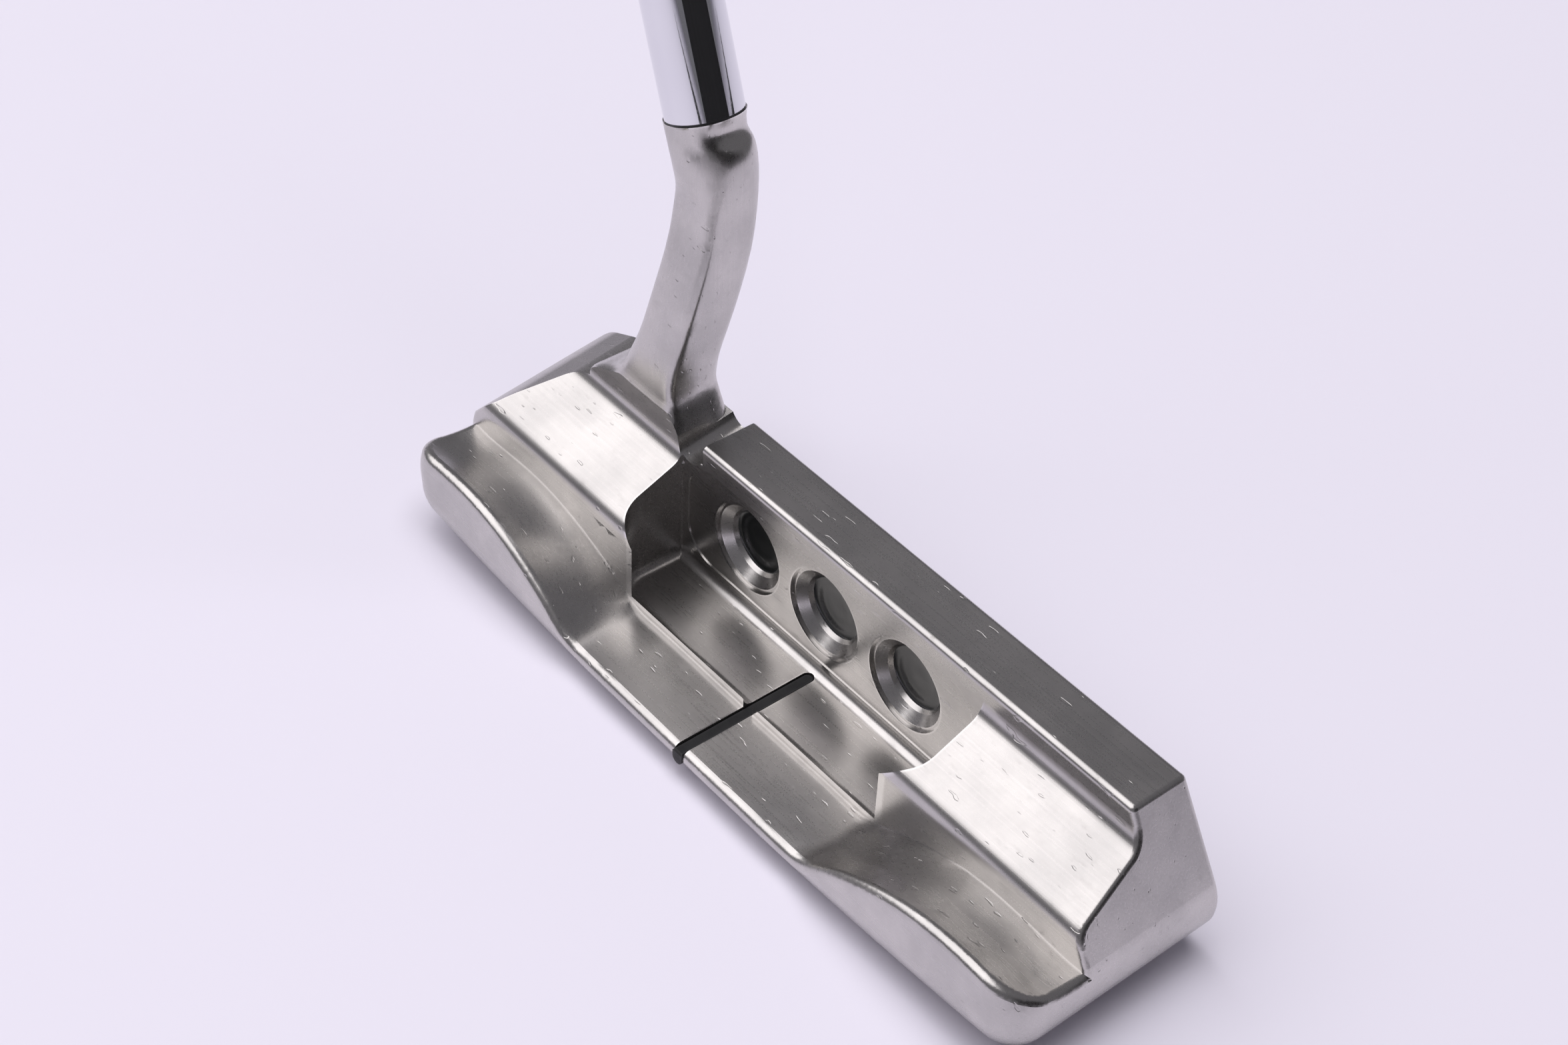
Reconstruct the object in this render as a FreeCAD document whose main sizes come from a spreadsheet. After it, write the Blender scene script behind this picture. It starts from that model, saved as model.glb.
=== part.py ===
import FreeCAD, Part
import math
import os
import Sketcher
from FreeCAD import Placement, Rotation, Vector

# Blade putter with a one-piece milled head and flow neck.
# Frame: +Z up, ground at z = 0, sight line at x = 0, heel towards -X, toe towards +X,
# target towards +Y, so the striking face looks along +Y and the flange lies towards -Y.
# The origin is the point of the sole that rests on the ground, under the sight line.

doc = FreeCAD.newDocument("blade_putter")
sheet = doc.addObject("Spreadsheet::Sheet", "sizes")
sheet.Label = "sizes"

SIZES = [
    # head, overall
    ("head_height", 25.0, "sole to topline"),
    ("toe_reach", 60.0, "sight line to the outermost toe"),
    ("heel_reach", 60.1, "sight line to the outermost heel"),
    ("head_depth", 31.9, "top edge of the face to the back wall"),
    ("topline_width", 8.7, "thickness of the blade at the top"),
    ("face_loft", 3.5, "face leans back by this angle"),
    ("sole_flat", 32.0, "flat middle of the sole, heel to toe"),
    ("sole_camber", 560.0, "radius of the sole beyond its flat middle"),
    ("sole_blend", 250.0, "roll from the flat of the sole into its camber"),
    ("leading_radius", 0.8, "edge between face and sole"),
    ("wall_lean", 4.3, "lean of the back wall"),
    ("heel_slant", 5.5, "outermost heel to the heel line at topline height"),
    ("back_radius", 5.0, "back wall into sole, toe and heel"),
    # toe end
    ("toe_slant", 7.7, "outermost toe to the toe end of the topline"),
    ("toe_belly_height", 7.2, "outermost toe above the sole under it"),
    ("belly_round", 7.5, "roll of the toe and heel at their outermost point"),
    ("toe_round", 5.6, "toe and heel into the sole"),
    # heel end
    ("heel_shelf_height", 23.4, "top of the head around the neck, at the face"),
    ("heel_shelf_reach", 48.0, "sight line to the end of that shelf"),
    ("heel_shoulder_reach", 56.4, "sight line to the heel shoulder"),
    ("heel_shoulder_height", 19.5, "height of the heel shoulder, at the face"),
    ("heel_shelf_fall", 8.5, "fall of the shelf and shoulder towards the back"),
    ("heel_shelf_round", 16.0, "roll from the shelf to the shoulder"),
    ("heel_shoulder_round", 11.0, "roll of the heel shoulder"),
    ("heel_belly_height", 7.8, "outermost heel above the sole under it"),
    ("notch_start", 24.4, "sight line to the step beside the neck"),
    ("notch_radius", 2.6, "round groove at the foot of that step"),
    ("notch_depth", 1.3, "groove below the shelf"),
    # bumpers behind the topline
    ("bumper_top", 20.7, "where the wall behind the topline meets the bumper"),
    ("bumper_slope", 21.5, "fall of the bumper towards the back"),
    ("bumper_back", 20.3, "top edge of the face to the end of the bumper"),
    ("bumper_foot_fillet", 2.8, "hollow under the topline"),
    ("bumper_nose", 3.0, "roll of the bumper at its lower edge"),
    ("edge_round", 0.8, "back edge of the topline and edges of the toe end"),
    # pocket between the bumpers
    ("pocket_reach", 28.4, "sight line to either end of the pocket"),
    ("pocket_floor", 4.5, "height of the pocket floor"),
    ("pocket_corner", 4.4, "cutter radius in the pocket corners"),
    ("pocket_fillet", 1.5, "wall of the pocket into its floor"),
    ("recess_depth", 0.15, "shallow recess in the pocket wall round the dots"),
    ("recess_reach", 27.2, "sight line to either end of the recess"),
    ("recess_low", 6.1, "lower edge of the recess"),
    ("recess_high", 21.6, "upper edge of the recess"),
    ("recess_corner", 5.0, "corners of the recess"),
    # flange and lip
    ("flange_low", 4.75, "height of the flange in the middle"),
    ("lip_high", 14.8, "height of the lip at heel and toe, before its roll"),
    ("lip_rise_start", 23.0, "sight line to where the lip starts to rise"),
    ("lip_rise_end", 50.0, "sight line to where the lip is highest"),
    ("valley_depth", 3.1, "hollow in front of the high lip"),
    ("lip_round", 1.1, "roll of the lip"),
    # three dots in the pocket wall
    ("dot_spacing", 15.2, "centre to centre"),
    ("dot_height", 14.3, "height of the dot centres"),
    ("dot_rim", 13.0, "diameter of the outer ring"),
    ("dot_bore", 8.9, "diameter of the painted bore"),
    ("dot_step", 0.45, "depth of the outer ring"),
    ("dot_depth", 3.4, "depth of the bore"),
    ("enamel_depth", 1.2, "thickness of the enamel in the bore"),
    # sight line
    ("sight_width", 1.8, "width of the sight groove"),
    ("sight_depth", 0.6, "depth of the sight groove"),
    ("paint_depth", 0.45, "thickness of the paint in the groove"),
    # neck and post
    ("lie_angle", 70.0, "shaft axis above the ground"),
    ("joint_height", 63.7, "height of the joint of neck and shaft"),
    ("joint_reach", 38.4, "sight line to that joint, towards the heel"),
    ("joint_forward", 1.7, "joint ahead of the top edge of the face"),
    ("neck_reach", 36.6, "sight line to the foot of the neck"),
    ("neck_belly", 1.9, "sway of the neck towards the toe half way up"),
    ("neck_width", 8.8, "neck, heel to toe"),
    ("neck_depth", 8.7, "neck, front to back"),
    ("post_diameter", 8.2, "post inside the shaft"),
    ("post_length", 26.0, "length of the post"),
    ("glue_gap", 0.15, "glue between post and shaft"),
    ("glue_ring", 0.3, "glue line showing at the joint"),
    # shaft
    ("shaft_tip", 10.2, "shaft diameter at the joint"),
    ("shaft_butt", 14.7, "shaft diameter under the grip"),
    ("shaft_wall", 0.5, "wall of the shaft tube under the grip"),
    ("club_length", 864.0, "ground to the end of the grip along the shaft"),
    ("tip_length", 150.0, "plain length above the joint"),
    ("step_length", 34.0, "distance between the steps"),
    # grip
    ("grip_length", 268.0, "grip without its cap"),
    ("grip_low_width", 19.6, "grip width at the low end"),
    ("grip_top_width", 26.0, "grip width at the top"),
    ("grip_flat", 9.6, "shaft axis to the flat of the grip"),
    ("pistol_swell", 5.2, "swell at the back of the grip near the top"),
    ("tape_thickness", 0.25, "tape between shaft and grip"),
    ("cap_thickness", 3.4, "end cap of the grip"),
    ("vent_hole", 2.6, "air hole in the cap"),
    # sole weights
    ("weight_reach", 44.0, "sight line to the middle of either weight"),
    ("weight_back", 14.5, "top edge of the face to the middle of the weights"),
    ("weight_diameter", 15.0, "sole weights"),
    ("weight_height", 6.0, "thickness of the weights"),
    ("weight_clearance", 0.1, "gap around a weight in its bore"),
    ("weight_recess", 0.3, "weights sit this far inside the sole"),
    ("spanner_hole", 2.1, "diameter of the spanner holes"),
    ("spanner_spacing", 9.0, "spanner holes, centre to centre"),
    ("spanner_depth", 2.5, "depth of the spanner holes"),
]

for row, (alias, value, meaning) in enumerate(SIZES, start=1):
    sheet.set("A%d" % row, alias)
    sheet.set("B%d" % row, str(value))
    sheet.set("C%d" % row, meaning)
    sheet.setAlias("B%d" % row, alias)
doc.recompute()

STEPS = 11                  # steps on the shaft
NECK_PLAIN = 7.6            # round top of the neck, below the joint
CORNER_POINTS = 7           # points round one corner of a neck section
SIDE_POINTS = 5             # points along one side of a neck section
GRIP_POINTS = 40            # points round one grip section

FRONT_VIEW = Rotation(Vector(1, 0, 0), 90)      # sketch x, y on X, Z
SIDE_VIEW = Rotation(Vector(1, 1, 1), 120)      # sketch x, y on Y, Z


def size(alias):
    return sheet.get(alias)


def bind(thing, prop, formula):
    thing.setExpression(prop, formula)


def cell(formula):
    """Puts the name of the sheet in front of every size in a formula."""
    words = []
    for word in formula.replace("(", " ( ").replace(")", " ) ").split():
        known = any(word == alias for alias, _, _ in SIZES)
        words.append("sizes." + word if known else word)
    return " ".join(words)


# ---------------------------------------------------------------- helpers
def polygon(sketch, corners):
    """Closed polygon whose corners are pairs of formulas."""
    points = [(evaluate(u), evaluate(v)) for u, v in corners]
    for i, (u, v) in enumerate(points):
        un, vn = points[(i + 1) % len(points)]
        sketch.addGeometry(Part.LineSegment(Vector(u, v, 0), Vector(un, vn, 0)), False)
    first = sketch.GeometryCount - len(points)
    for i, (u, v) in enumerate(points):
        line = first + i
        following = first + (i + 1) % len(points)
        sketch.addConstraint(Sketcher.Constraint("Coincident", line, 2, following, 1))
        fix(sketch, "DistanceX", line, u, corners[i][0])
        fix(sketch, "DistanceY", line, v, corners[i][1])


def fix(sketch, kind, line, value, formula):
    index = sketch.addConstraint(Sketcher.Constraint(kind, -1, 1, line, 1, value))
    bind(sketch, "Constraints[%d]" % index, cell(formula))


def evaluate(formula):
    return float(sheet.evalExpression(cell(formula).replace("sizes.", "")))


def new_sketch(name, rotation, corners):
    sketch = doc.addObject("Sketcher::SketchObject", name)
    sketch.Placement = Placement(Vector(0, 0, 0), rotation)
    polygon(sketch, corners)
    return sketch


def extrusion(name, sketch, forward, backward):
    prism = doc.addObject("Part::Extrusion", name)
    prism.Base = sketch
    prism.DirMode = "Normal"
    prism.Solid = True
    bind(prism, "LengthFwd", cell(forward))
    bind(prism, "LengthRev", cell(backward))
    doc.recompute()
    return prism


def feature(name, shape):
    thing = doc.addObject("Part::Feature", name)
    thing.Shape = shape
    return thing


def join(kind, name, pieces):
    thing = doc.addObject(kind, name)
    thing.Shapes = pieces
    doc.recompute()
    return thing


def cut(name, base, tool):
    thing = doc.addObject("Part::Cut", name)
    thing.Base = base
    thing.Tool = tool
    doc.recompute()
    return thing


def rounded(name, base, picks):
    """Fillet; picks are pairs of a test for an edge and its radius."""
    edges = []
    for index, edge in enumerate(base.Shape.Edges, start=1):
        for test, radius in picks:
            if test(edge):
                edges.append((index, radius, radius))
                break
    if not edges:
        raise RuntimeError("no edge found for " + name)
    thing = doc.addObject("Part::Fillet", name)
    thing.Base = base
    thing.Edges = edges
    doc.recompute()
    return thing


def runs_along(edge, axis):
    start, end = edge.Vertexes[0].Point, edge.Vertexes[-1].Point
    return (end - start).Length > 1e-6 and abs((end - start).normalize().dot(axis)) > 0.999


def near(edge, axis, u, v, slack=0.05):
    """Edge along an axis whose other two coordinates are u and v."""
    if len(edge.Vertexes) < 2 or not runs_along(edge, axis):
        return False
    middle = edge.CenterOfMass
    rest = [c for c, a in zip(middle, axis) if abs(a) < 0.5]
    return abs(rest[0] - u) < slack and abs(rest[1] - v) < slack


# ---------------------------------------------------------------- head
def tangent(angle):
    return "%.12f" % math.tan(math.radians(size(angle)))


def head_block():
    """Block with the outline of the head from the front and the side."""
    toe_belly = "toe_belly_height + %.9f" % sole_height(size("toe_reach"))
    heel_belly = "heel_belly_height + %.9f" % sole_height(size("heel_reach"))
    front = [
        ("toe_reach - toe_slant", "head_height"),
        ("toe_reach", toe_belly),
        ("toe_reach - 1.4", "0"),
        ("-1 * heel_reach + 2.6", "0"),
        ("-1 * heel_reach", heel_belly),
        ("-1 * heel_reach + heel_slant", "head_height"),
    ]
    prism = extrusion("front_prism", new_sketch("front_outline", FRONT_VIEW, front),
                      "head_depth + 5", "5")
    drum = doc.addObject("Part::Cylinder", "sole_drum")
    bind(drum, "Radius", "sizes.sole_camber")
    bind(drum, "Height", cell("head_depth + 20"))
    drum.Placement = Placement(Vector(0, 10, 0), Rotation(Vector(1, 0, 0), 90))
    bind(drum, "Placement.Base.z", cell("sole_camber - sole_flat * sole_flat / ( 8 * sole_camber )"))
    prism = join("Part::MultiCommon", "front_prism_soled", [prism, drum])

    across = Vector(0, 1, 0)
    picks = []
    for corner in (1, 4):
        u, v = [evaluate(formula) for formula in front[corner]]
        picks.append((lambda e, u=u, v=v: near(e, across, u, v), size("belly_round")))
    for end in (-size("sole_flat") / 2, size("sole_flat") / 2):
        picks.append((lambda e, u=end: near(e, across, u, 0), size("sole_blend")))
    for reach in (size("toe_reach") - 1, 2 - size("heel_reach")):
        foot = sole_height(reach)
        picks.append((lambda e, u=reach, v=foot: near(e, across, u, v, 1.5), size("toe_round")))
    prism = rounded("front_prism_rounded", prism, picks)

    lean = size("wall_lean")
    side = [
        ("-5 * " + tangent("face_loft"), "head_height + 5"),
        ("( head_height + 2 ) * " + tangent("face_loft"), "-2"),
        ("-1 * head_depth - 2 * " + tangent("wall_lean"), "-2"),
        ("-1 * head_depth + ( head_height + 5 ) * " + tangent("wall_lean"), "head_height + 5"),
    ]
    side_prism = extrusion("side_prism", new_sketch("side_outline", SIDE_VIEW, side),
                           "toe_reach + 5", "heel_reach + 5")
    block = join("Part::MultiCommon", "head_block", [prism, side_prism])

    foot = Vector(0, -size("head_depth"), 0)
    normal = Rotation(Vector(1, 0, 0), -lean).multVec(Vector(0, -1, 0))

    def on_back_wall(edge):
        points = [vertex.Point for vertex in edge.Vertexes] + [edge.CenterOfMass]
        flat = all(abs((p - foot).dot(normal)) < 0.05 for p in points[:-1])
        return flat and edge.CenterOfMass.z < size("head_height") - 0.5

    return rounded("head_block_rounded", block, [(on_back_wall, size("back_radius"))])


def sole_height(reach):
    """Height of the sole at a distance from the sight line."""
    camber = size("sole_camber")
    drop = size("sole_flat") ** 2 / (8 * camber)
    return max(camber - drop - math.sqrt(camber ** 2 - reach ** 2), 0.0)


def bumper_cutter():
    """Clears the space behind the topline, above the sloping bumpers."""
    end = "bumper_top - ( bumper_back - topline_width ) * " + tangent("bumper_slope")
    profile = [
        ("-1 * topline_width", "head_height + 5"),
        ("-1 * topline_width", "bumper_top"),
        ("-1 * bumper_back", end),
        ("-1 * bumper_back", end + " - 0.7 * bumper_nose"),
        ("-1 * bumper_back - 1.5", end + " - 0.7 * bumper_nose"),
        ("-1 * bumper_back - 1.5", "head_height + 5"),
    ]
    prism = extrusion("bumper_prism", new_sketch("bumper_outline", SIDE_VIEW, profile),
                      "toe_reach + 10", "heel_reach + 10")
    along = Vector(1, 0, 0)
    picks = []
    for corner, radius in ((1, size("bumper_foot_fillet")), (2, size("bumper_nose"))):
        u, v = [evaluate(formula) for formula in profile[corner]]
        picks.append((lambda e, u=u, v=v: near(e, along, u, v), radius))
    return rounded("bumper_cutter", prism, picks)


def lip_height(x):
    """Height of the lip: low in the middle, rising to heel and toe."""
    start, end = size("lip_rise_start"), size("lip_rise_end")
    t = min(max((abs(x) - start) / (end - start), 0.0), 1.0)
    return size("flange_low") + (size("lip_high") - size("flange_low")) * (1 - (1 - t) ** 2)


def hollow(x):
    """Depth of the hollow in front of the lip."""
    start, end = size("lip_rise_start"), size("lip_rise_end")
    t = min(max((abs(x) - start) / (end - start), 0.0), 1.0)
    return 0.1 + (size("valley_depth") - 0.1) * t ** 0.8


def flange_cutter():
    """Clears the space above the flange; its under side is the hollow of the flange."""
    front = -size("bumper_back")
    lip = -size("head_depth") + 0.7
    lowest = front - 2.0
    ends = max(size("toe_reach"), size("heel_reach")) + 8
    start, end = size("lip_rise_start"), size("lip_rise_end")
    reaches = [8.0, start - 4.0, start - 1.2, start + 1.2]
    reaches += [start + (end - start) * part for part in (0.16, 0.3, 0.5, 0.75)]
    reaches += [end, (end + ends) / 2, ends]
    stations = [-reach for reach in reversed(reaches)] + reaches
    wires = []
    for x in stations:
        low = lip_height(x) - hollow(x)
        points = []
        for y in (lip - 6.0, lip - 3.0, lip, (lip + lowest) / 2, lowest, front):
            t = max((lowest - y) / (lowest - lip), 0.0)
            points.append(Vector(x, y, low + hollow(x) * t ** 2))
        curve = Part.BSplineCurve()
        curve.interpolate(points)
        top = size("head_height") + 8
        first, last = points[0], points[-1]
        wires.append(Part.Wire([
            curve.toShape(),
            Part.makeLine(last, Vector(x, last.y, top)),
            Part.makeLine(Vector(x, last.y, top), Vector(x, first.y, top)),
            Part.makeLine(Vector(x, first.y, top), first),
        ]))
    return feature("flange_cutter", Part.makeLoft(wires, True, False))


def shelf_cutter():
    """Lowers the top of the head beside the neck and rounds the heel shoulder."""
    outline = [
        ("-1 * notch_start", "head_height + 6"),
        ("-1 * notch_start", "heel_shelf_height"),
        ("-1 * heel_shelf_reach", "heel_shelf_height"),
        ("-1 * heel_shoulder_reach", "heel_shoulder_height"),
        ("-1 * heel_shoulder_reach - 16", "heel_shoulder_height - 16"),
        ("-1 * heel_shoulder_reach - 20", "heel_shoulder_height - 16"),
        ("-1 * heel_shoulder_reach - 20", "head_height + 6"),
    ]
    prism = extrusion("shelf_prism", new_sketch("shelf_outline", FRONT_VIEW, outline),
                      "head_depth + 10", "10")
    across = Vector(0, 1, 0)
    picks = []
    for corner, radius in ((2, size("heel_shelf_round")), (3, size("heel_shoulder_round"))):
        u, v = [evaluate(formula) for formula in outline[corner]]
        picks.append((lambda e, u=u, v=v: near(e, across, u, v), radius))
    shelf = rounded("shelf_cutter", prism, picks)
    shelf.Placement = shelf_tilt().multiply(shelf.Placement)
    return shelf


def shelf_tilt():
    """Turn about the top front edge of the shelf that lets it fall towards the back."""
    hinge = Vector(0, 0, size("heel_shelf_height"))
    return Placement(Vector(0, 0, 0), Rotation(Vector(1, 0, 0), size("heel_shelf_fall")), hinge)


def notch_cutter():
    """Round groove between the end of the topline and the neck."""
    groove = doc.addObject("Part::Cylinder", "notch_cutter")
    bind(groove, "Radius", "sizes.notch_radius")
    bind(groove, "Height", cell("head_depth + 20"))
    reach = size("notch_start") + size("notch_radius")
    height = size("heel_shelf_height") - size("notch_depth") + size("notch_radius")
    level = Placement(Vector(-reach, 10, height), Rotation(Vector(1, 0, 0), 90))
    groove.Placement = shelf_tilt().multiply(level)
    return groove


def pocket_cutter():
    """Clears the pocket between the bumpers, with the cutter's round corners."""
    box = doc.addObject("Part::Box", "pocket_box")
    bind(box, "Length", cell("2 * pocket_reach"))
    bind(box, "Width", cell("bumper_back - topline_width"))
    bind(box, "Height", cell("head_height + 5 - pocket_floor"))
    bind(box, "Placement.Base.x", cell("-1 * pocket_reach"))
    bind(box, "Placement.Base.y", cell("-1 * bumper_back"))
    bind(box, "Placement.Base.z", cell("pocket_floor"))
    doc.recompute()
    upright = Vector(0, 0, 1)
    middle = -(size("bumper_back") + size("topline_width")) / 2

    def back_corner(edge):
        return runs_along(edge, upright) and edge.CenterOfMass.y < middle

    box = rounded("pocket_corners", box, [(back_corner, size("pocket_corner"))])
    floor = size("pocket_floor")
    box = rounded("pocket_floor_fillet", box,
                  [(lambda e: abs(e.CenterOfMass.z - floor) < 1e-4, size("pocket_fillet"))])
    return join("Part::MultiFuse", "pocket_cutter", [box, recess_cutter()])


def recess_cutter():
    """Shallow recess in the wall of the pocket, with round corners."""
    box = doc.addObject("Part::Box", "recess_box")
    bind(box, "Length", cell("2 * recess_reach"))
    bind(box, "Width", cell("recess_depth + 1"))
    bind(box, "Height", cell("recess_high - recess_low"))
    bind(box, "Placement.Base.x", cell("-1 * recess_reach"))
    bind(box, "Placement.Base.y", cell("-1 * topline_width - 1"))
    bind(box, "Placement.Base.z", cell("recess_low"))
    doc.recompute()
    across = Vector(0, 1, 0)
    return rounded("recess_cutter", box,
                   [(lambda e: runs_along(e, across), size("recess_corner"))])


def dot_cutter(index):
    """Stepped ring, funnel and bore of one dot, turned about an axis along Y."""
    profile = [
        ("0", "-1"),
        ("dot_rim / 2", "-1"),
        ("dot_rim / 2", "dot_step"),
        ("dot_rim / 2 - 0.55", "dot_step"),
        ("dot_bore / 2 + 0.35", "dot_step + 1.1"),
        ("dot_bore / 2", "dot_step + 1.7"),
        ("dot_bore / 2", "dot_depth"),
        ("0", "dot_depth"),
    ]
    name = "dot_%d" % (index + 2)
    sketch = new_sketch(name + "_profile", Rotation(), profile)
    bind(sketch, "Placement.Base.x", cell("%d * dot_spacing" % index))
    bind(sketch, "Placement.Base.y", cell("recess_depth - topline_width"))
    bind(sketch, "Placement.Base.z", cell("dot_height"))
    doc.recompute()
    turned = doc.addObject("Part::Revolution", name + "_cutter")
    turned.Source = sketch
    turned.Base = dot_place(index)
    turned.Axis = Vector(0, 1, 0)
    turned.Angle = 360
    turned.Solid = True
    doc.recompute()
    return turned


def dot_place(index):
    wall = size("recess_depth") - size("topline_width")
    return Vector(index * size("dot_spacing"), wall, size("dot_height"))


def sight_shape(above, outward):
    """Round-ended bar along the flange that bends down over the lip."""
    half = size("sight_width") / 2
    wall = size("head_depth")
    bed = size("pocket_floor") - size("sight_depth")
    front = -size("topline_width") - 1.0 - half
    back = -wall + size("sight_depth") + 0.2
    flat = Part.makeBox(2 * half, front - back + outward, above, Vector(-half, back - outward, bed))
    end = Part.makeCylinder(half, above, Vector(0, front, bed))
    drop = Part.makeBox(2 * half, outward, bed + above - 3.3, Vector(-half, back - outward, 3.3))
    tip = Part.makeCylinder(half, outward, Vector(0, back, 3.3), Vector(0, -1, 0))
    return flat.multiFuse([end, drop, tip]).removeSplitter()


def weight_seat(side):
    """Point of the sole under a weight and the upward direction square to it there."""
    reach = side * size("weight_reach")
    tilt = math.asin(reach / size("sole_camber"))
    up = Vector(-math.sin(tilt), 0, math.cos(tilt))
    return Vector(reach, -size("weight_back"), sole_height(reach)), up


def weight_bore(side, name):
    seat, up = weight_seat(side)
    bore = doc.addObject("Part::Cylinder", name)
    bind(bore, "Radius", cell("weight_diameter / 2 + weight_clearance"))
    bind(bore, "Height", cell("weight_height + weight_recess + 2"))
    bore.Placement = Placement(seat - up * 2, Rotation(Vector(0, 0, 1), up))
    doc.recompute()
    return bore


def shaft_axis():
    lie = math.radians(size("lie_angle"))
    return Vector(-math.cos(lie), 0, math.sin(lie))


def joint_point():
    return Vector(-size("joint_reach"), size("joint_forward"), size("joint_height"))


def neck_wire(centre, along, reaches, radii):
    """Closed smooth section square to a direction: a rectangle with round corners.

    reaches are the distances from the centre to the toe, front, heel and back sides,
    radii those of the corners toe-front, heel-front, heel-back and toe-back.
    """
    fore = along.cross(Vector(1, 0, 0)).normalize()
    side = fore.cross(along).normalize()
    toe, front, heel, back = reaches
    corners = [(toe, front), (-heel, front), (-heel, -back), (toe, -back)]
    outline = []
    for number, (u, v) in enumerate(corners):
        radius = radii[number]
        for i in range(CORNER_POINTS):
            angle = math.radians(90.0 * (number + i / (CORNER_POINTS - 1)))
            outline.append((u - math.copysign(radius, u) + radius * math.cos(angle),
                            v - math.copysign(radius, v) + radius * math.sin(angle)))
    points = []
    last = len(outline)
    for i, (u, v) in enumerate(outline):
        points.append((u, v))
        if i % CORNER_POINTS == CORNER_POINTS - 1:
            un, vn = outline[(i + 1) % last]
            for n in range(1, SIDE_POINTS + 1):
                part = n / (SIDE_POINTS + 1)
                points.append((u + (un - u) * part, v + (vn - v) * part))
    half = SIDE_POINTS // 2 + 1
    points = points[-half:] + points[:-half]
    curve = Part.BSplineCurve()
    curve.interpolate([centre + side * u + fore * v for u, v in points], True)
    return Part.Wire([curve.toShape()])


def neck_centre(forward, sway, height):
    """Middle of the neck: forward 0 to 1 from foot to joint, sway 0 to 1 of its belly."""
    joint = joint_point()
    foot_y = -size("topline_width") / 2
    x = -size("neck_reach") + size("neck_belly") * sway
    return Vector(x, foot_y + (joint.y - foot_y) * forward, height)


def neck_shape():
    """Flow neck: rises from the heel shelf, sweeps forward and ends under the shaft."""
    joint = joint_point()
    axis = shaft_axis()
    base = size("heel_shelf_height")
    rise = joint.z - base
    # height above the shelf as a part of the rise, sway, place between foot and joint,
    # corner radii of ridge and of the others as parts of the neck's width,
    # flare towards toe and heel
    stations = [
        (-0.090, 0.00, 0.00, 0.12, 0.20, 4.2, 10.5),
        (-0.030, 0.00, 0.00, 0.12, 0.20, 3.4, 8.0),
        (0.020, 0.00, 0.00, 0.12, 0.20, 2.2, 5.2),
        (0.065, 0.02, 0.01, 0.12, 0.21, 1.1, 2.6),
        (0.120, 0.08, 0.03, 0.12, 0.22, 0.4, 1.0),
        (0.220, 0.42, 0.09, 0.12, 0.24, 0.0, 0.1),
        (0.340, 0.80, 0.24, 0.12, 0.25, 0.0, 0.0),
        (0.470, 0.98, 0.48, 0.12, 0.25, 0.0, 0.0),
        (0.600, 0.93, 0.74, 0.13, 0.26, 0.0, 0.0),
        (0.720, 0.66, 0.93, 0.16, 0.28, 0.0, 0.0),
    ]
    centres = [neck_centre(forward, sway, base + rise * up) for up, sway, forward, *_ in stations]
    width, depth = size("neck_width"), size("neck_depth")
    wires = []
    for i, (up, sway, forward, ridge, corner, toe_flare, heel_flare) in enumerate(stations):
        along = Vector(0, 0, 1)
        if up > 0.1:
            above = centres[i + 1] if i + 1 < len(centres) else joint - axis * NECK_PLAIN
            along = (above - centres[i - 1]).normalize()
        back = depth / 2 + (0.5 if up < 0.03 else 0.0)
        reaches = (width / 2 + toe_flare, depth / 2, width / 2 + heel_flare, back)
        radii = [corner * width] * 3 + [ridge * width]
        wires.append(neck_wire(centres[i], along, reaches, radii))
    radius = size("shaft_tip") / 2
    for down in (NECK_PLAIN, NECK_PLAIN / 2, 0.0):
        wires.append(neck_wire(joint - axis * down, axis, [radius] * 4, [radius * 0.93] * 4))
    return Part.makeLoft(wires, True, False)


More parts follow.
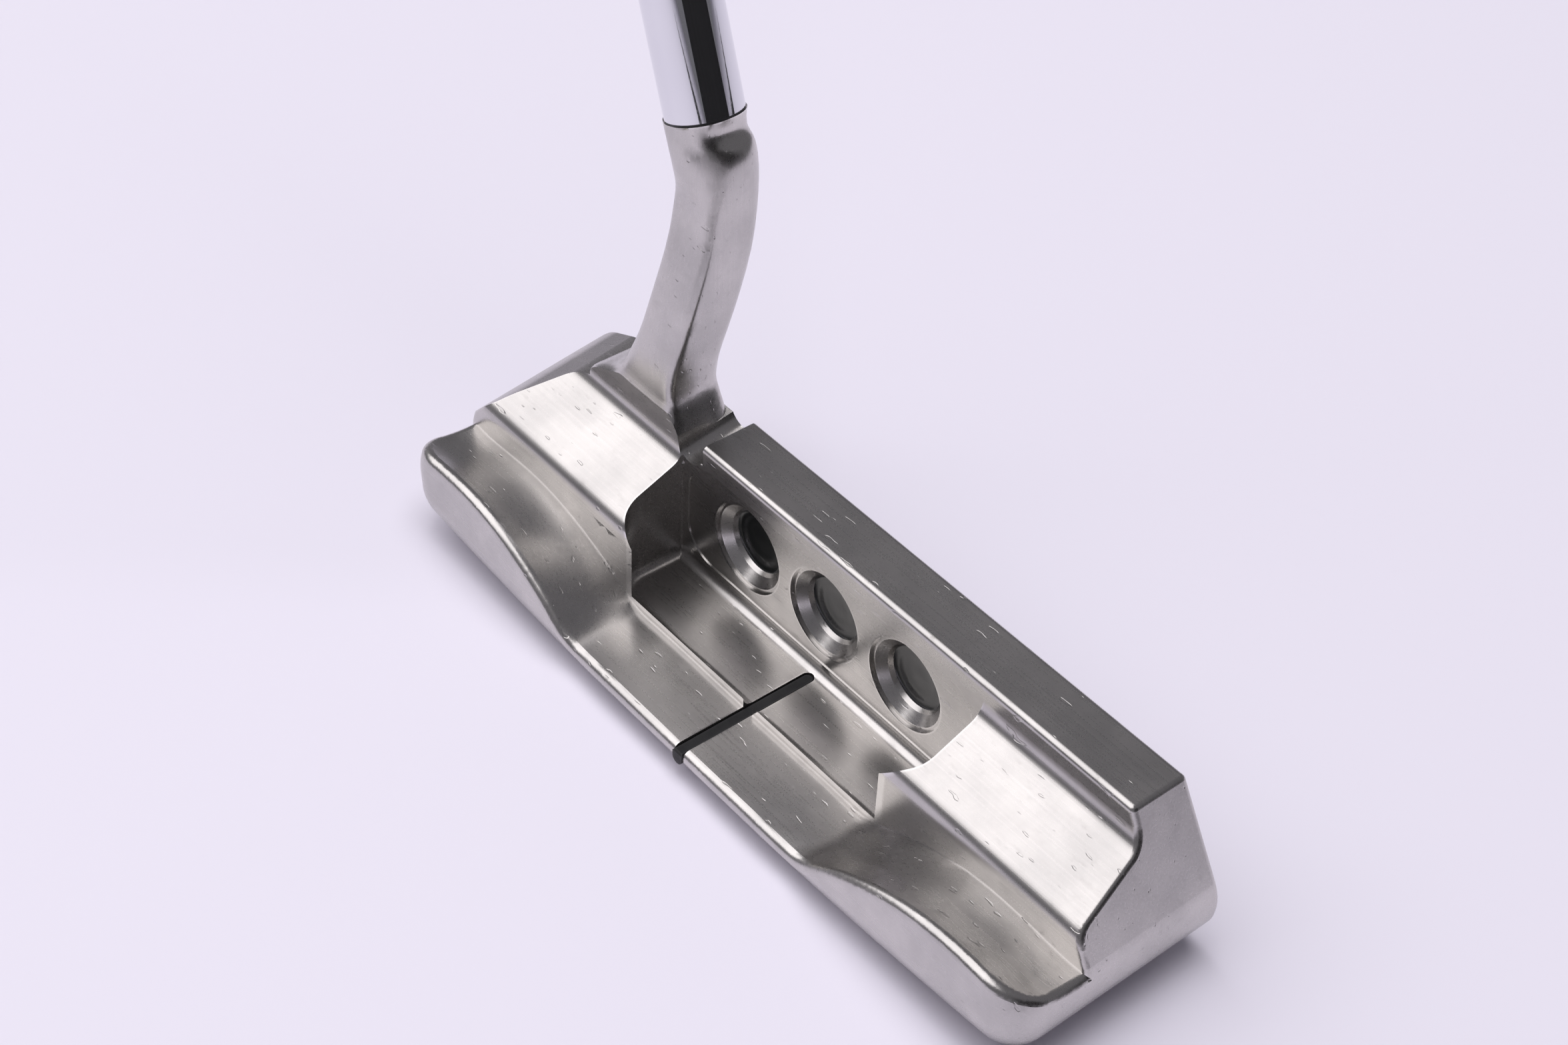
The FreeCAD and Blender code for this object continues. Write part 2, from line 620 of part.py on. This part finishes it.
def build_head():
    """One milled piece: blade, bumpers, pocket, flange, neck and the post for the shaft."""
    block = head_block()
    face = Vector(0, 0, size("head_height"))
    outward = Rotation(Vector(1, 0, 0), size("face_loft")).multVec(Vector(0, 1, 0))

    def on_face(edge):
        flat = all(abs((v.Point - face).dot(outward)) < 0.05 for v in edge.Vertexes)
        return flat and edge.CenterOfMass.z < size("head_height") - 0.2

    head = rounded("head_leading_edge", block, [(on_face, size("leading_radius"))])
    bumpers = bumper_cutter()
    head = cut("head_bumpers", head, bumpers)
    head = cut("head_flange", head, flange_cutter())

    back = -size("bumper_back")
    lip_edges = [
        edge for f in head.Shape.Faces
        if type(f.Surface).__name__ == "BSplineSurface" and f.CenterOfMass.y < back
        and f.Area > 400
        for edge in f.Edges if edge.CenterOfMass.y < back - 0.3
    ]

    def on_lip(edge):
        return any(edge.isSame(other) for other in lip_edges)

    head = rounded("head_lip", head, [(on_lip, size("lip_round"))])

    toe_line, top = size("toe_reach") - size("toe_slant"), size("head_height")
    belly = size("toe_belly_height") + sole_height(size("toe_reach"))
    wall = -size("topline_width")

    def on_toe_or_topline(edge):
        c = edge.CenterOfMass
        if near(edge, Vector(0, 1, 0), toe_line, top, 0.1):
            return True
        if near(edge, Vector(1, 0, 0), wall, top, 0.1):
            return True
        behind = wall + 0.05 > c.y > back + 0.02 and c.x > toe_line
        return behind and belly + 2 < c.z < top - 0.01 and edge.Length < 12

    head = rounded("head_edges", head, [(on_toe_or_topline, size("edge_round"))])
    head = cut("head_shelf", head, shelf_cutter())
    head = cut("head_pocket", head, pocket_cutter())
    head = cut("head_dots", head, join("Part::MultiFuse", "dot_cutters",
                                       [dot_cutter(i) for i in (-1, 0, 1)]))
    head = cut("head_sight_groove", head, feature("sight_cutter", sight_shape(9.0, 3.0)))
    head = cut("head_heel_bore", head, weight_bore(-1, "heel_bore"))
    head = cut("head_toe_bore", head, weight_bore(1, "toe_bore"))
    neck = cut("neck_flush", feature("neck", neck_shape()), bumpers)
    post = doc.addObject("Part::Cylinder", "post")
    bind(post, "Radius", cell("post_diameter / 2"))
    bind(post, "Height", cell("post_length + 2"))
    post.Placement = Placement(joint_point() - shaft_axis() * 2,
                               Rotation(Vector(0, 0, 1), shaft_axis()))
    whole = join("Part::MultiFuse", "head_whole", [head, neck, post])
    return cut("head_body", whole, notch_cutter())


# ---------------------------------------------------------------- bodies
def new_body(name):
    body = doc.addObject("PartDesign::Body", name)
    body.Label = name
    return body


def body_sketch(body, name, role, corners):
    """Sketch on one of the body's own origin planes."""
    plane = [f for f in body.Origin.OriginFeatures if f.Role == role][0]
    sketch = body.newObject("Sketcher::SketchObject", name)
    sketch.AttachmentSupport = [(plane, "")]
    sketch.MapMode = "FlatFace"
    if corners:
        polygon(sketch, corners)
    return sketch


def turned_body(name, corners):
    """Body turned about its own Z axis from a profile of radius and height."""
    body = new_body(name)
    sketch = body_sketch(body, name + "_profile", "XZ_Plane", corners)
    turned = body.newObject("PartDesign::Revolution", name + "_turned")
    turned.Profile = sketch
    turned.ReferenceAxis = (sketch, ["V_Axis"])
    turned.Angle = 360
    sketch.Visibility = False
    doc.recompute()
    return body


def place_on_shaft(thing):
    """Own origin at the joint of neck and shaft, own Z up the shaft."""
    thing.Placement = Placement(joint_point(), Rotation(Vector(0, 0, 1), shaft_axis()))
    if thing.TypeId != "Part::Feature":
        bind(thing, "Placement.Base.x", "-1 * sizes.joint_reach")
        bind(thing, "Placement.Base.y", "sizes.joint_forward")
        bind(thing, "Placement.Base.z", "sizes.joint_height")
    return thing


def ground_to_joint():
    """Length along the shaft axis from the ground to the joint."""
    return size("joint_height") / math.sin(math.radians(size("lie_angle")))


def shaft_length():
    return size("club_length") - size("cap_thickness") - ground_to_joint()


def build_shaft():
    """Steel tube: plain tip over the post, steps, plain butt under the grip."""
    length = shaft_length()
    low = size("glue_ring")
    tip = size("tip_length")
    rise = (size("shaft_butt") - size("shaft_tip")) / 2 / STEPS
    outside = [("shaft_tip / 2", "glue_ring")]
    for i in range(STEPS):
        at = "tip_length + %d * step_length" % i
        radius = "shaft_tip / 2 + %d * ( shaft_butt - shaft_tip ) / %d" % (i, 2 * STEPS)
        following = "shaft_tip / 2 + %d * ( shaft_butt - shaft_tip ) / %d" % (i + 1, 2 * STEPS)
        outside.append((radius, at))
        outside.append((following, at + " + 1.2"))
    end = "%.6f" % length
    outside.append(("shaft_butt / 2", end))
    inside = [
        ("shaft_butt / 2 - shaft_wall", end),
        ("shaft_butt / 2 - shaft_wall", "tip_length + %d * step_length" % STEPS),
        ("post_diameter / 2 + glue_gap", "tip_length"),
        ("post_diameter / 2 + glue_gap", "glue_ring"),
    ]
    return place_on_shaft(turned_body("shaft", outside + inside))


def build_glue():
    """Glue sleeve between post and shaft with the black line that shows at the joint."""
    profile = [
        ("post_diameter / 2", "0"),
        ("shaft_tip / 2 - 0.08", "0"),
        ("shaft_tip / 2 - 0.08", "glue_ring"),
        ("post_diameter / 2 + glue_gap", "glue_ring"),
        ("post_diameter / 2 + glue_gap", "post_length"),
        ("post_diameter / 2", "post_length"),
    ]
    return place_on_shaft(turned_body("shaft_glue", profile))


def build_tape():
    bottom = "%.6f" % (shaft_length() - size("grip_length") + 6)
    end = "%.6f" % shaft_length()
    profile = [
        ("shaft_butt / 2", bottom),
        ("shaft_butt / 2 + tape_thickness", bottom),
        ("shaft_butt / 2 + tape_thickness", end),
        ("shaft_butt / 2", end),
    ]
    return place_on_shaft(turned_body("grip_tape", profile))


def build_weight(name, side):
    """Round steel weight with two blind spanner holes in the sole side."""
    seat, up = weight_seat(side)
    profile = [
        ("0", "weight_recess"),
        ("weight_diameter / 2 - 0.4", "weight_recess"),
        ("weight_diameter / 2", "weight_recess + 0.4"),
        ("weight_diameter / 2", "weight_recess + weight_height"),
        ("0", "weight_recess + weight_height"),
    ]
    body = turned_body(name, profile)
    before = body.Shape.Volume
    holes = body_sketch(body, name + "_holes", "XY_Plane", [])
    for sign in (-1, 1):
        place = Vector(sign * size("spanner_spacing") / 2, 0, 0)
        circle = holes.addGeometry(Part.Circle(place, Vector(0, 0, 1), size("spanner_hole") / 2))
        reach = holes.addConstraint(Sketcher.Constraint("DistanceX", -1, 1, circle, 3, place.x))
        bind(holes, "Constraints[%d]" % reach, cell("%d * spanner_spacing / 2" % sign))
        holes.addConstraint(Sketcher.Constraint("DistanceY", -1, 1, circle, 3, 0))
        across = holes.addConstraint(Sketcher.Constraint("Diameter", circle, size("spanner_hole")))
        bind(holes, "Constraints[%d]" % across, "sizes.spanner_hole")
    pocket = body.newObject("PartDesign::Pocket", name + "_spanner_holes")
    pocket.Profile = holes
    bind(pocket, "Length", cell("spanner_depth + weight_recess"))
    pocket.Reversed = True
    doc.recompute()
    if not body.Shape.Volume < before:
        raise RuntimeError("the spanner holes missed " + name)
    body.Placement = Placement(seat, Rotation(Vector(0, 0, 1), up))
    bind(body, "Placement.Base.x", cell("%d * weight_reach" % side))
    bind(body, "Placement.Base.y", cell("-1 * weight_back"))
    return body


def build_paint():
    """Paint in the sight groove, a little below the metal."""
    layer = sight_shape(size("paint_depth"), 0.3)
    bed = size("pocket_floor") - size("sight_depth")
    edges = [
        e for e in layer.Edges
        if runs_along(e, Vector(1, 0, 0)) and e.CenterOfMass.z > bed + size("paint_depth") - 0.01
    ]
    return feature("sight_line_paint", layer.makeChamfer(0.25, edges))


def build_enamel():
    """Enamel at the bottom of each bore, with a raised rim where it clings to the wall."""
    radius = size("dot_bore") / 2
    solids = []
    for index in (-1, 0, 1):
        deep = dot_place(index) + Vector(0, size("dot_depth"), 0)
        thick = size("enamel_depth")
        edge = Vector(radius, -thick, 0)
        middle = Vector(radius * 0.55, -thick + 0.28, 0)
        centre = Vector(0, -thick + 0.34, 0)
        curve = Part.BSplineCurve()
        curve.interpolate(Points=[centre, middle, edge],
                          Tangents=[Vector(1, 0, 0), Vector(1, -0.12, 0), Vector(1, -0.9, 0)],
                          TangentFlags=[True, True, True])
        outline = Part.Wire([
            Part.makeLine(Vector(0, 0, 0), Vector(radius, 0, 0)),
            Part.makeLine(Vector(radius, 0, 0), edge),
            curve.toShape(),
            Part.makeLine(centre, Vector(0, 0, 0)),
        ])
        disc = Part.Face(outline).revolve(Vector(0, 0, 0), Vector(0, 1, 0), 360)
        disc.translate(deep)
        solids.append(disc)
    return feature("dot_enamel", Part.makeCompound(solids))


def grip_wire(height, width, back, flat):
    """D-shaped section: round behind, flat towards the thumbs."""
    points = []
    for i in range(GRIP_POINTS):
        angle = 2 * math.pi * i / GRIP_POINTS
        c, s = math.cos(angle), math.sin(angle)
        deep = flat if c > 0 else back
        square = 5.0 if c > 0 else 2.1
        radius = 1.0
        for _ in range(30):
            total = (radius * abs(c) / deep) ** square + (radius * abs(s) / (width / 2)) ** 2.1
            radius *= total ** (-1.0 / square)
        points.append(Vector(radius * c, radius * s, height))
    curve = Part.BSplineCurve()
    curve.interpolate(points, True)
    return Part.Wire([curve.toShape()])


def grip_section(part):
    """Width, depth behind the axis and depth to the flat, from low end 0 to top 1."""
    low, top = size("grip_low_width"), size("grip_top_width")
    width = low + (top - low) * part ** 1.2
    swell = size("pistol_swell") * math.exp(-((part - 0.80) / 0.17) ** 2)
    back = width / 2 * 0.98 + swell
    flat = size("grip_flat") + (width - low) * 0.18
    return width, back, flat


def build_grip():
    """Pistol grip of solid rubber with the bore for shaft and tape."""
    length = size("grip_length")
    top = shaft_length()
    wires = []
    for part in (0.0, 0.012, 0.1, 0.22, 0.36, 0.5, 0.6, 0.7, 0.8, 0.88, 0.95, 1.0):
        width, back, flat = grip_section(part)
        lead = 1.6 if part == 0.0 else 0.0
        wires.append(grip_wire(top - length + part * length, width - 2 * lead, back - lead,
                               flat - lead))
    outside = Part.makeLoft(wires, True, False)
    bore = Part.makeCylinder(size("shaft_butt") / 2 + size("tape_thickness"), length + 2,
                             Vector(0, 0, top - length - 1))
    mouth = Part.makeCylinder(size("shaft_butt") / 2, 7, Vector(0, 0, top - length - 1))
    solid = outside.cut(bore)
    ring = Part.makeCylinder(size("shaft_butt") / 2 + size("tape_thickness"), 6,
                             Vector(0, 0, top - length)).cut(mouth)
    return place_on_shaft(feature("grip", solid.fuse(ring).removeSplitter()))


def build_cap():
    """End cap bonded on the grip and the shaft end, with an air hole."""
    top = shaft_length()
    thick = size("cap_thickness")
    width, back, flat = grip_section(1.0)
    wires = [
        grip_wire(top, width, back, flat),
        grip_wire(top + thick * 0.5, width - 0.5, back - 0.25, flat - 0.25),
        grip_wire(top + thick, width - 3.4, back - 1.7, flat - 1.7),
    ]
    solid = Part.makeLoft(wires, True, False)
    hole = Part.makeCylinder(size("vent_hole") / 2, thick + 2, Vector(0, 0, top - 1))
    return place_on_shaft(feature("grip_cap", solid.cut(hole)))


# ---------------------------------------------------------------- build and write
parts = [
    build_head(),
    build_weight("heel_weight", -1),
    build_weight("toe_weight", 1),
    build_paint(),
    build_enamel(),
    build_glue(),
    build_shaft(),
    build_tape(),
    build_grip(),
    build_cap(),
]
doc.recompute()

for thing in doc.Objects:
    if "Invalid" in thing.State or "Error" in thing.State:
        raise RuntimeError("%s did not build: %s" % (thing.Name, thing.State))
for thing in parts:
    if thing.Shape.isNull() or not thing.Shape.isValid():
        raise RuntimeError("%s has no sound shape" % thing.Name)

os.makedirs("parts", exist_ok=True)
for thing in parts:
    thing.Label = thing.Name
    thing.Shape.exportStep(os.path.join("parts", thing.Name + ".step"))
    box = thing.Shape.BoundBox
    print("%-18s %9.1f mm3  %s" % (thing.Name, thing.Shape.Volume, box))
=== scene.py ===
import math

import bpy
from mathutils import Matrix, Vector


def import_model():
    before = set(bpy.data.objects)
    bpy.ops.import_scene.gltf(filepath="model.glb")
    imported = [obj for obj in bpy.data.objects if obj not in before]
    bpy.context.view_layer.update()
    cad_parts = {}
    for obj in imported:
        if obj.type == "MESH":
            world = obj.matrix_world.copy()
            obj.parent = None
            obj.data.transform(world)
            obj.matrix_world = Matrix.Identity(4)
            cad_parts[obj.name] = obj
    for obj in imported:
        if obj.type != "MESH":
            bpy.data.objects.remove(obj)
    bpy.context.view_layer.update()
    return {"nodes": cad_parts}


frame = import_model()

MM = 0.001
WEAR_LOW = 0.004         # turn of the normal where edge wear starts
WEAR_HIGH = 0.12         # turn of the normal where it is complete
WORLD = 0.17             # strength of the dim room
SOFTBOX = 17.0           # watts of the key softbox
FILL = 19.0              # watts of the ceiling fill


# ---------------------------------------------------------------- node helpers
class Tree:
    """Small shorthand for one node tree."""

    def __init__(self, tree):
        self.tree = tree

    def put(self, socket, value):
        if isinstance(value, bpy.types.NodeSocket):
            self.tree.links.new(value, socket)
        elif value is not None:
            socket.default_value = value

    def node(self, kind, inputs=(), **settings):
        made = self.tree.nodes.new("ShaderNode" + kind)
        for key, value in settings.items():
            setattr(made, key, value)
        for key, value in dict(inputs).items():
            self.put(made.inputs[key], value)
        return made

    def math(self, operation, a, b):
        made = self.node("Math", operation=operation)
        for socket, value in zip(made.inputs, (a, b)):
            self.put(socket, value)
        return made.outputs[0]

    def vector(self, operation, a, b):
        made = self.node("VectorMath", operation=operation)
        for socket, value in zip(made.inputs, (a, b)):
            self.put(socket, value)
        return made.outputs[1 if operation == "DOT_PRODUCT" else 0]

    def ramp(self, value, low, high, out_low=0.0, out_high=1.0):
        made = self.node("MapRange", interpolation_type="SMOOTHSTEP")
        for socket, v in zip(made.inputs, (value, low, high, out_low, out_high)):
            self.put(socket, v)
        return made.outputs[0]

    def blend(self, factor, a, b):
        made = self.node("Mix", data_type="RGBA", blend_type="MIX")
        self.put(made.inputs[0], factor)
        self.put(made.inputs[6], a)
        self.put(made.inputs[7], b)
        return made.outputs[2]

    def noise(self, place, scale, detail=3.0, roughness=0.5):
        made = self.node("TexNoise", {"Vector": place, "Scale": scale, "Detail": detail,
                                      "Roughness": roughness})
        return made.outputs[0]

    def place(self, stretch=(1.0, 1.0, 1.0)):
        """Place on the object in millimetres, stretched."""
        where = self.node("TexCoord").outputs["Object"]
        return self.vector("MULTIPLY", where, tuple(1000.0 * s for s in stretch))

    def bump(self, height, distance, strength=1.0, normal=None):
        made = self.node("Bump", {"Strength": strength, "Distance": distance, "Height": height,
                                  "Normal": normal})
        return made.outputs[0]


def new_material(name):
    """A material with a Principled shader, its tree and that shader's inputs."""
    made = bpy.data.materials.new(name)
    made.use_nodes = True
    made.node_tree.nodes.clear()
    tree = Tree(made.node_tree)
    shader = tree.node("BsdfPrincipled")
    out = tree.node("OutputMaterial")
    made.node_tree.links.new(shader.outputs[0], out.inputs[0])
    return made, tree, shader.inputs


def grey(value, warmth=0.0):
    return (value * (1 + warmth), value, value * (1 - warmth), 1.0)


# ---------------------------------------------------------------- materials
def edge_wear(tree, radius):
    """1 along sharp edges, 0 on the flats."""
    soft = tree.node("Bevel", {"Radius": radius}, samples=4).outputs[0]
    hard = tree.node("NewGeometry").outputs["Normal"]
    turn = tree.math("SUBTRACT", 1.0, tree.vector("DOT_PRODUCT", soft, hard))
    return tree.ramp(turn, WEAR_LOW, WEAR_HIGH)


def milled_steel(name, dark, light, smooth):
    """Satin milled steel: lengthwise brushing, scuffs, nicks and polished edges."""
    made, tree, shader = new_material(name)
    height = tree.node("SeparateXYZ", {0: tree.place()}).outputs[2]
    on_neck = tree.ramp(height, 25.5, 31.0)
    below_neck = tree.math("SUBTRACT", 1.0, on_neck)
    on_top = tree.math("MULTIPLY", tree.ramp(height, 24.2, 24.8), below_neck)
    lengthwise = tree.noise(tree.place((0.035, 3.4, 3.4)), 1.0, 3.0, 0.6)
    upwards = tree.noise(tree.place((3.0, 3.0, 0.05)), 1.0, 3.0, 0.6)
    brushing = tree.blend(on_neck, lengthwise, upwards)
    cloud = tree.noise(tree.place(), 0.11, 4.0, 0.55)
    speck = tree.noise(tree.place(), 4.0, 2.0, 0.6)
    scuff = tree.ramp(tree.noise(tree.place((0.5, 1.2, 1.2)), 0.8, 5.0, 0.65), 0.56, 0.72)
    nick = tree.ramp(tree.noise(tree.place((0.4, 1.6, 1.0)), 0.9, 1.0, 0.4), 0.71, 0.76)
    wear = edge_wear(tree, 0.5 * MM)

    tone = tree.blend(tree.ramp(cloud, 0.3, 0.7), grey(dark, 0.03), grey(light, 0.035))
    tone = tree.blend(tree.math("MULTIPLY", brushing, 0.13), tone, grey(dark * 0.6, 0.02))
    stain = tree.math("ADD", 0.07, tree.math("MULTIPLY", on_top, 0.4))
    stained = tree.math("MULTIPLY", scuff, stain)
    tone = tree.blend(stained, tone, grey(dark * 0.55, 0.06))
    tone = tree.blend(tree.math("MULTIPLY", wear, 0.7), tone, grey(0.74, 0.02))
    tree.put(shader["Base Color"], tone)
    shader["Metallic"].default_value = 1.0

    rough = tree.math("ADD", smooth, tree.math("MULTIPLY", brushing, 0.12))
    rough = tree.math("ADD", rough, tree.math("MULTIPLY", speck, 0.05))
    rough = tree.math("ADD", rough, tree.math("MULTIPLY", scuff, 0.06))
    rough = tree.math("SUBTRACT", rough, tree.math("MULTIPLY", wear, 0.12))
    tree.put(shader["Roughness"], rough)
    fine = tree.bump(brushing, 0.005 * MM)
    tree.put(shader["Normal"], tree.bump(nick, -0.05 * MM, 0.6, fine))
    return made


def chrome():
    """Polished chrome with hair scratches along it and a faint haze of handling."""
    made, tree, shader = new_material("chrome_look")
    scratches = tree.noise(tree.place((9.0, 9.0, 0.05)), 1.0, 2.0, 0.5)
    smear = tree.noise(tree.place(), 0.06, 3.0, 0.5)
    tone = tree.blend(smear, (0.72, 0.72, 0.755, 1), (0.80, 0.80, 0.825, 1))
    tree.put(shader["Base Color"], tone)
    shader["Metallic"].default_value = 1.0
    rough = tree.ramp(scratches, 0.45, 0.8, 0.035, 0.10)
    rough = tree.math("ADD", rough, tree.ramp(smear, 0.55, 0.75, 0.0, 0.05))
    tree.put(shader["Roughness"], rough)
    return made


def coating(name, colour, rough, dust, grain, depth):
    """Paint, enamel, glue or rubber: tone clouds, pale dust, worn edges, fine grain."""
    made, tree, shader = new_material(name)
    cloud = tree.noise(tree.place(), 0.3, 4.0, 0.6)
    specks = tree.ramp(tree.noise(tree.place(), 3.5, 3.0, 0.6), 0.6, 0.75)
    wear = edge_wear(tree, 0.3 * MM)
    dark = tuple(0.7 * c for c in colour) + (1,)
    pale = tuple(0.35 * c + 0.12 for c in colour) + (1,)
    tone = tree.blend(cloud, dark, tuple(colour) + (1,))
    tone = tree.blend(tree.math("MULTIPLY", specks, dust), tone, pale)
    tone = tree.blend(tree.math("MULTIPLY", wear, 0.35), tone, pale)
    tree.put(shader["Base Color"], tone)
    spread = tree.ramp(cloud, 0.3, 0.7, rough * 0.8, rough * 1.2)
    tree.put(shader["Roughness"], tree.math("ADD", spread, tree.math("MULTIPLY", specks, 0.1)))
    tree.put(shader["Normal"], tree.bump(tree.noise(tree.place(), grain, 3.0, 0.6), depth * MM))
    return made


def grip_rubber():
    """Black rubber with small moulded dimples."""
    made, tree, shader = new_material("grip_rubber_look")
    cells = tree.node("TexVoronoi", {"Vector": tree.place(), "Scale": 0.38, "Randomness": 0.15})
    dimple = tree.ramp(cells.outputs[0], 0.12, 0.42)
    cloud = tree.noise(tree.place(), 0.08, 4.0, 0.6)
    speck = tree.noise(tree.place(), 3.0, 3.0, 0.6)
    tone = tree.blend(cloud, (0.013, 0.013, 0.014, 1), (0.030, 0.030, 0.032, 1))
    tone = tree.blend(tree.math("MULTIPLY", tree.math("SUBTRACT", 1.0, dimple), 0.4), tone,
                      (0.05, 0.049, 0.047, 1))
    tree.put(shader["Base Color"], tone)
    tree.put(shader["Roughness"], tree.ramp(speck, 0.3, 0.7, 0.5, 0.72))
    grain = tree.bump(speck, 0.03 * MM)
    tree.put(shader["Normal"], tree.bump(dimple, 0.25 * MM, 1.0, grain))
    return made


def dress(node, material):
    slots = frame["nodes"][node].data.materials
    slots.clear()
    slots.append(material)


weight_steel = milled_steel("weight_steel_look", 0.46, 0.54, 0.26)
dress("head_body", milled_steel("milled_steel_look", 0.50, 0.60, 0.20))
dress("heel_weight", weight_steel)
dress("toe_weight", weight_steel)
dress("shaft", chrome())
dress("shaft_glue", coating("glue_look", (0.012, 0.012, 0.013), 0.35, 0.2, 4.0, 0.01))
dress("sight_line_paint", coating("paint_look", (0.01, 0.01, 0.011), 0.6, 0.12, 5.0, 0.02))
dress("dot_enamel", coating("enamel_look", (0.016, 0.018, 0.018), 0.14, 0.1, 0.9, 0.02))
dress("grip_tape", coating("tape_look", (0.7, 0.62, 0.5), 0.7, 0.3, 6.0, 0.05))
dress("grip", grip_rubber())
dress("grip_cap", coating("cap_look", (0.02, 0.02, 0.021), 0.45, 0.25, 3.0, 0.03))


# ---------------------------------------------------------------- floor, light and camera
def floor():
    mesh = bpy.data.meshes.new("floor")
    half = 3.0
    corners = [(-half, -half, 0), (half, -half, 0), (half, half, 0), (-half, half, 0)]
    mesh.from_pydata(corners, [], [(0, 1, 2, 3)])
    made = bpy.data.objects.new("floor", mesh)
    bpy.context.scene.collection.objects.link(made)
    paper, _, shader = new_material("paper_look")
    shader["Base Color"].default_value = (0.86, 0.83, 0.93, 1)
    shader["Roughness"].default_value = 0.9
    mesh.materials.append(paper)


def black_flag():
    """Dark card past the edge of the paper; only polished metal shows it."""
    mesh = bpy.data.meshes.new("black_flag")
    near, far = 0.44, 1.2
    wide = 0.8
    low, high = 0.002, 1.4
    lying = [(near, -wide, low), (far, -wide, low), (far, wide, low), (near, wide, low)]
    standing = [(far, -wide, high), (far, wide, high)]
    mesh.from_pydata(lying + standing, [], [(0, 1, 2, 3), (1, 4, 5, 2)])
    made = bpy.data.objects.new("black_flag", mesh)
    bpy.context.scene.collection.objects.link(made)
    card, tree, shader = new_material("card_look")
    grain = tree.noise(tree.place(), 0.01, 3.0, 0.5)
    tree.put(shader["Base Color"], tree.blend(grain, grey(0.015), grey(0.025)))
    shader["Roughness"].default_value = 0.9
    mesh.materials.append(card)
    made.visible_camera = False
    made.visible_diffuse = False
    made.visible_shadow = False


def soft_light(name, place, size, power, colour):
    """Rectangular light aimed at the origin."""
    data = bpy.data.lights.new(name, "AREA")
    data.shape = "RECTANGLE"
    data.size, data.size_y = size
    data.energy = power
    data.color = colour
    made = bpy.data.objects.new(name, data)
    made.location = place
    made.rotation_mode = "QUATERNION"
    made.rotation_quaternion = (-Vector(place)).to_track_quat("-Z", "Y")
    bpy.context.scene.collection.objects.link(made)
    return made


def world(colour, strength):
    made = bpy.data.worlds.new("studio")
    made.use_nodes = True
    sky = made.node_tree.nodes["Background"]
    sky.inputs[0].default_value = colour
    sky.inputs[1].default_value = strength
    bpy.context.scene.world = made


def camera(place, turn, lens):
    data = bpy.data.cameras.new("camera")
    data.lens = lens
    data.sensor_width = 36.0
    data.clip_start = 0.01
    made = bpy.data.objects.new("camera", data)
    made.location = place
    made.rotation_euler = [math.radians(angle) for angle in turn]
    bpy.context.scene.collection.objects.link(made)
    bpy.context.scene.camera = made


floor()
black_flag()
world((0.93, 0.91, 1.0, 1), WORLD)
soft_light("softbox", (-0.75, -0.45, 1.35), (1.9, 1.7), SOFTBOX, (1.0, 0.975, 1.0))
fill = soft_light("ceiling_fill", (0.1, 0.1, 2.0), (1.2, 1.2), FILL, (1.0, 0.98, 1.0))
fill.visible_glossy = False
camera((0.17039, -0.16635, 0.2392), (47.86775, -2.23905, 50.58188), 59.7108)

scene = bpy.context.scene
scene.view_settings.view_transform = "Standard"
